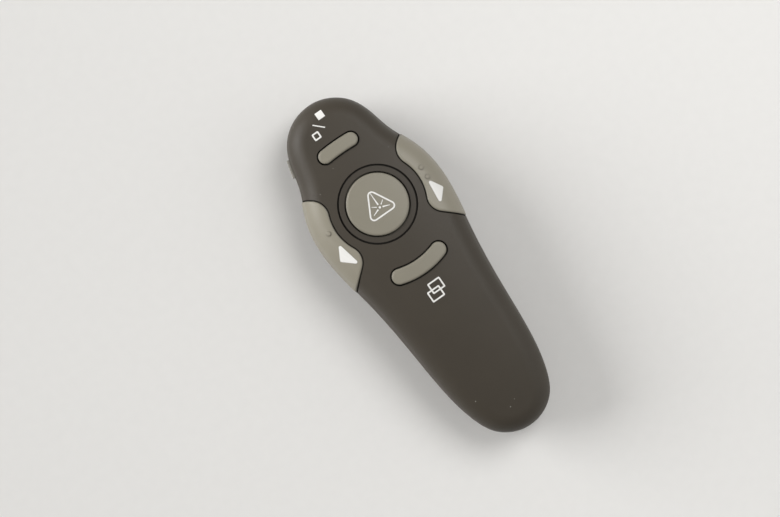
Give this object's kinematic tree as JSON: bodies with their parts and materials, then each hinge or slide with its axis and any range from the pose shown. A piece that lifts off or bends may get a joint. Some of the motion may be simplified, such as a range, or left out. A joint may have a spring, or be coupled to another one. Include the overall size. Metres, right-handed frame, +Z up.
{
  "type": "wireless presentation clicker",
  "caption": "Handheld wireless presentation clicker with a round laser button in a ring, bar keys, wrap-round side keys, a sliding battery door and a docked receiver.",
  "frame": {"origin": "below the middle of the body on the surface it rests on", "axes": "+Y towards the nose with the laser aperture, +Z up out of the keys, +X to the right"},
  "size_m": [0.0446, 0.1179, 0.0255],
  "materials": {
    "shell": "soft-touch matt charcoal",
    "key": "matt mid grey",
    "side_key": "matt grey",
    "ring_trim": "satin black",
    "slider": "matt light grey",
    "circuit_board": "green solder mask",
    "chip_black": "moulded epoxy",
    "steel": "satin steel",
    "ceramic": "ceramic",
    "brass": "turned brass",
    "clear_lens": "clear",
    "lead_cover": "pvc covering",
    "nickel": "nickel plate",
    "spring_steel": "plated spring wire",
    "cell_jacket": "printed jacket",
    "screw_steel": "dark zinc plate",
    "receiver_black": "satin black",
    "tongue_white": "moulded insulator",
    "gold": "gold plate",
    "switch_black": "moulded black",
    "plunger": "moulded ivory",
    "print": "pad printed white ink"
  },
  "bodies": {
    "root": {"top_shell": "shell", "bottom_shell": "shell", "laser_button_bezel": "ring_trim", "main_pcb": "circuit_board", "radio_chip": "chip_black", "crystal_can": "steel", "passive_components": "ceramic", "power_switch_body": "steel", "laser_barrel": "brass", "laser_lens": "clear_lens", "laser_diode": "steel", "laser_driver_board": "circuit_board", "laser_leads": "lead_cover", "nose_bezel": "ring_trim", "laser_window": "clear_lens", "positive_contact": "nickel", "negative_contact": "nickel", "bridge_contact": "nickel", "battery_springs": "spring_steel", "battery_cell_left": "cell_jacket", "battery_cell_right": "cell_jacket", "shell_screws": "screw_steel", "board_screws": "screw_steel", "laser_tact_switch": "switch_black", "blank_screen_tact_switch": "switch_black", "window_switch_tact_switch": "switch_black", "previous_tact_switch": "switch_black", "next_tact_switch": "switch_black"},
    "laser_key": {"laser_button": "key", "laser_tact_plunger": "plunger"},
    "blank_screen_key": {"blank_screen_button": "key", "blank_screen_tact_plunger": "plunger"},
    "window_switch_key": {"window_switch_button": "key", "window_switch_tact_plunger": "plunger"},
    "previous_key": {"previous_button": "side_key", "previous_tact_plunger": "plunger"},
    "next_key": {"next_button": "side_key", "next_tact_plunger": "plunger"},
    "power_slider": {"power_switch_knob": "slider"},
    "door": {"battery_door": "shell"},
    "receiver": {"receiver_housing": "receiver_black", "receiver_plug_shell": "nickel", "receiver_tongue": "tongue_white", "receiver_contacts": "gold", "receiver_board": "circuit_board"}
  },
  "joints": [
    {"name": "laser_press", "type": "slide", "parent": "root", "child": "laser_key", "axis": [0, 0, -1], "range_m": [0, 0.00035], "stiffness_N_per_m": 900},
    {"name": "blank_screen_press", "type": "slide", "parent": "root", "child": "blank_screen_key", "axis": [0, 0, -1], "range_m": [0, 0.00035], "stiffness_N_per_m": 900},
    {"name": "window_switch_press", "type": "slide", "parent": "root", "child": "window_switch_key", "axis": [0, 0, -1], "range_m": [0, 0.00035], "stiffness_N_per_m": 900},
    {"name": "previous_press", "type": "slide", "parent": "root", "child": "previous_key", "axis": [0, 0, -1], "range_m": [0, 0.00035], "stiffness_N_per_m": 900},
    {"name": "next_press", "type": "slide", "parent": "root", "child": "next_key", "axis": [0, 0, -1], "range_m": [0, 0.00035], "stiffness_N_per_m": 900},
    {"name": "power_slide", "type": "slide", "parent": "root", "child": "power_slider", "axis": [0.2079, 0.9781, 0], "range_m": [0, 0.002]},
    {"name": "door_slide", "type": "slide", "parent": "root", "child": "door", "axis": [0, -1, 0], "range_m": [0, 0.033]},
    {"name": "receiver_pull", "type": "slide", "parent": "root", "child": "receiver", "axis": [0, 0, -1], "range_m": [0, 0.01]}
  ]
}
